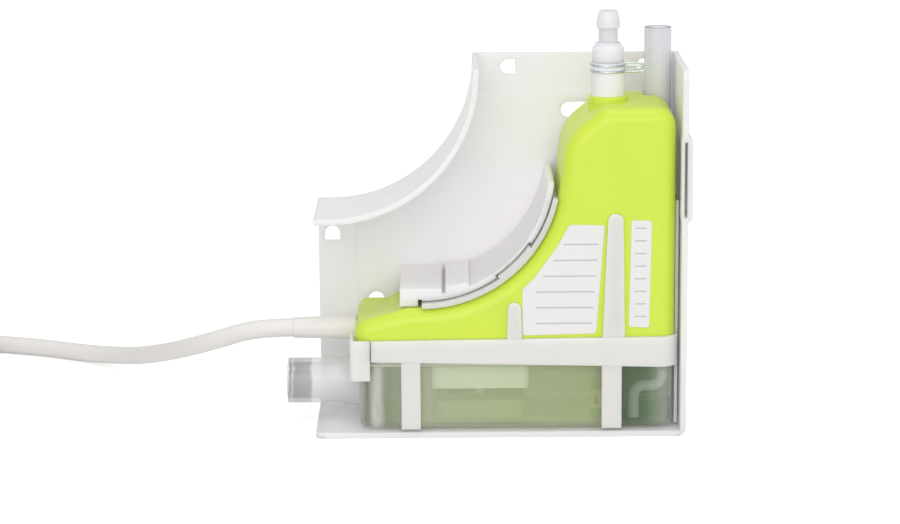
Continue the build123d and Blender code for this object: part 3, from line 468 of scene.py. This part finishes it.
# ---------------------------------------------------------------- supply cord
CORD_DIAMETER = 0.006
CORD_RADIUS = CORD_DIAMETER / 2
COIL_CENTRE = (278.0, -36.0)
COIL_OUTER = 43.0
COIL_PITCH = CORD_DIAMETER / MM
COIL_LAYER_TURNS = 3
POINTS_PER_TURN = 16
LAYER_UP = (3.0, 9.0)
TIE_HALF = 2.0
TIE_THICK = 0.5
TIE_UNDER = 0.4
TIE_CORNERS = (2.5, 2.2)

route = [
    (123.4, 31.0, 22.0),
    (135.4, 31.0, 22.0),
    (149.0, 25.8, 17.5),
    (162.0, 19.2, 2.5),
    (172.5, 12.5, -19.0),
    (182.5, 6.5, -41.0),
    (198.0, 3.0, -58.5),
    (219.0, 3.0, -70.0),
    (242.0, 3.0, -77.0),
    (262.0, 3.0, -79.0),
]
tail_out = COIL_CENTRE[1] - COIL_OUTER
tail = [(left, up, tail_out) for left, up in ((290, 9), (306, 7.5), (322, 3), (338, 3))]


def coil_turns():
    """Turns spiral inwards on the floor, climb one layer and spiral out on top of the first."""
    points = []
    for step in range(2 * COIL_LAYER_TURNS * POINTS_PER_TURN + 1):
        turn = step / POINTS_PER_TURN
        angle = (turn - 0.25) * 2 * math.pi
        radius = COIL_OUTER - COIL_PITCH * (COIL_LAYER_TURNS - abs(turn - COIL_LAYER_TURNS))
        climb = min(max((turn - COIL_LAYER_TURNS) / 0.5 + 0.5, 0.0), 1.0)
        up = LAYER_UP[0] + (LAYER_UP[1] - LAYER_UP[0]) * climb
        points.append(on_ring(COIL_CENTRE, radius, angle, up))
    return points


def coil_tie():
    """Flat tie round the turns on the coil's room side, pressed thin under them on the floor."""
    cord_radius = CORD_RADIUS / MM
    low = COIL_OUTER - (COIL_LAYER_TURNS - 0.5) * COIL_PITCH - cord_radius
    high = COIL_OUTER - 0.5 * COIL_PITCH + cord_radius
    top = LAYER_UP[1] + cord_radius
    inside = [(low, TIE_UNDER), (high, TIE_UNDER), (high, top), (low, top)]
    low, high, top = low - TIE_THICK, high + TIE_THICK, top + TIE_THICK
    outside = [(low, 0), (high, 0), (high, top), (low, top)]
    made = bmesh.new()
    rings = []
    for outline, radius in zip((outside, inside), TIE_CORNERS):
        for side in (-TIE_HALF, TIE_HALF):
            rings.append([
                made.verts.new(place(COIL_CENTRE[0] + side, up, COIL_CENTRE[1] + reach))
                for reach, up in rounded_outline(outline, radius)
            ])
    count = len(rings[0])
    for one, two in ((0, 1), (1, 3), (3, 2), (2, 0)):
        for index in range(count):
            after = (index + 1) % count
            made.faces.new((rings[one][index], rings[one][after], rings[two][after], rings[two][index]))
    return added("coil_tie", closed_mesh("coil_tie", made), finishes["component_black"].material)


tie = coil_tie()
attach(tie, "pump_unit")
cord_points = route + coil_turns() + tail
cord = round_curve("supply_cord_lead", cord_points, CORD_RADIUS, finishes["cord_white"].material)
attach(cord, "pump_unit")
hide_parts("supply_cord", "supply_cord_coil", "supply_cord_tail")

# ---------------------------------------------------------------- sleeve clip
SLEEVE = (23.7, 22.0)
CLIP_RING = 5.35
CLIP_WIRE_RADIUS = 0.4
CLIP_UPS = (112.7, 114.6)
CLIP_HALF = 2.4
CLIP_STEPS = 18
EAR_BEND = 16.4
EAR_END = 12.2
EAR_CURL = 0.8


def clip_points():
    """Closed wire: round the sleeve, out along an ear, over to the other level and back round."""
    points = []
    gap = math.asin(CLIP_HALF / CLIP_RING)
    for up, way in zip(CLIP_UPS, (1, -1)):
        for step in range(CLIP_STEPS + 1):
            angle = math.pi + way * (gap + (2 * math.pi - 2 * gap) * step / CLIP_STEPS)
            points.append(on_ring(SLEEVE, CLIP_RING, angle, up))
        side = SLEEVE[1] + way * CLIP_HALF
        other = CLIP_UPS[1] if way == 1 else CLIP_UPS[0]
        points += [(EAR_BEND, up, side), (EAR_END + EAR_CURL, up, side), (EAR_END, (up + other) / 2, side)]
        points += [(EAR_END + EAR_CURL, other, side), (EAR_BEND, other, side)]
    return points


clip_radius = CLIP_WIRE_RADIUS * MM
clip = round_curve("sleeve_clip_wire", clip_points(), clip_radius, finishes["steel"].material, closed=True)
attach(clip, "pump_unit")
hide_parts("sleeve_clip")

# ---------------------------------------------------------------- stage, light and camera
FLOOR_HALF = 6.0
FLOOR_GREY = 0.82
FLOOR_LIFT = 0.5
WORLD_LIGHT = 0.62
AIM = (0, 0, 0.06)
LAMPS = {
    "key": {"at": (-0.25, -1.6, 0.75), "size": 1.3, "watts": 8.8},
    "top": {"at": (-0.1, -0.15, 1.5), "size": 1.2, "watts": 4},
    "fill": {"at": (0.9, -1.2, 0.9), "size": 1.2, "watts": 2.5},
}
CAMERA_PITCH = 12.0
CAMERA_ROLL = -0.43
CAMERA_LENS = 113.64
CAMERA_PLACE = (-0.01145, -0.8816, 0.2390)


def seen_by(tree, rays):
    """1 for the named kinds of ray, 0 for others."""
    path = tree.nodes.new("ShaderNodeLightPath")
    seen = path.outputs[rays[0]]
    for ray in rays[1:]:
        either = tree.nodes.new("ShaderNodeMath")
        either.operation = "MAXIMUM"
        tree.links.new(seen, either.inputs[0])
        tree.links.new(path.outputs[ray], either.inputs[1])
        seen = either.outputs[0]
    return seen


def stage_floor():
    """Pale floor, lifted to white where it is seen, and keeping the part's shadow."""
    mesh = bpy.data.meshes.new("floor")
    corners = [(-FLOOR_HALF, -FLOOR_HALF, 0), (FLOOR_HALF, -FLOOR_HALF, 0),
               (FLOOR_HALF, FLOOR_HALF, 0), (-FLOOR_HALF, FLOOR_HALF, 0)]
    mesh.from_pydata(corners, [], [(0, 1, 2, 3)])
    material = bpy.data.materials.new("pale_floor")
    material.use_nodes = True
    tree = material.node_tree
    shader = tree.nodes["Principled BSDF"]
    shader.inputs["Base Color"].default_value = (FLOOR_GREY, FLOOR_GREY, FLOOR_GREY, 1)
    shader.inputs["Roughness"].default_value = 0.9
    shader.inputs["Specular IOR Level"].default_value = 0.1
    shader.inputs["Emission Color"].default_value = (1, 1, 1, 1)
    lift = tree.nodes.new("ShaderNodeMath")
    lift.operation = "MULTIPLY"
    lift.inputs[1].default_value = FLOOR_LIFT
    tree.links.new(seen_by(tree, ("Is Camera Ray", "Is Glossy Ray", "Is Transmission Ray")), lift.inputs[0])
    tree.links.new(lift.outputs[0], shader.inputs["Emission Strength"])
    added("floor", mesh, material)


def soft_world():
    """White world that is dimmer as a light than as a background."""
    world = bpy.data.worlds.new("studio")
    bpy.context.scene.world = world
    world.use_nodes = True
    tree = world.node_tree
    background = tree.nodes["Background"]
    background.inputs["Color"].default_value = (1, 1, 1, 1)
    strength = tree.nodes.new("ShaderNodeMapRange")
    strength.inputs["To Min"].default_value = WORLD_LIGHT
    strength.inputs["To Max"].default_value = 1.0
    tree.links.new(seen_by(tree, ("Is Camera Ray", "Is Transmission Ray")), strength.inputs["Value"])
    tree.links.new(strength.outputs["Result"], background.inputs["Strength"])


def lamp(name, at, size, watts):
    """Round soft lamp that faces the part."""
    data = bpy.data.lights.new(name, "AREA")
    data.shape = "DISK"
    data.size = size
    data.energy = watts
    light = bpy.data.objects.new(name, data)
    bpy.context.collection.objects.link(light)
    light.location = at
    light.rotation_euler = (Vector(AIM) - Vector(at)).to_track_quat("-Z", "Y").to_euler()


def photo_camera():
    """Camera a little above the part, rolled slightly, square to its front."""
    pitch = math.radians(CAMERA_PITCH)
    roll = math.radians(CAMERA_ROLL)
    right = Vector((1, 0, 0))
    up = Vector((0, math.sin(pitch), math.cos(pitch)))
    forward = Vector((0, math.cos(pitch), -math.sin(pitch)))
    camera_right = math.cos(roll) * right + math.sin(roll) * up
    camera_up = -math.sin(roll) * right + math.cos(roll) * up
    data = bpy.data.cameras.new("camera")
    data.sensor_width = 36.0
    data.lens = CAMERA_LENS
    data.clip_end = 20.0
    camera = bpy.data.objects.new("camera", data)
    bpy.context.collection.objects.link(camera)
    turn = Matrix((camera_right, camera_up, -forward)).transposed()
    camera.matrix_world = Matrix.Translation(CAMERA_PLACE) @ turn.to_4x4()
    bpy.context.scene.camera = camera


stage_floor()
soft_world()
for name, settings in LAMPS.items():
    lamp(name, **settings)
photo_camera()
bpy.context.scene.view_settings.view_transform = "Standard"
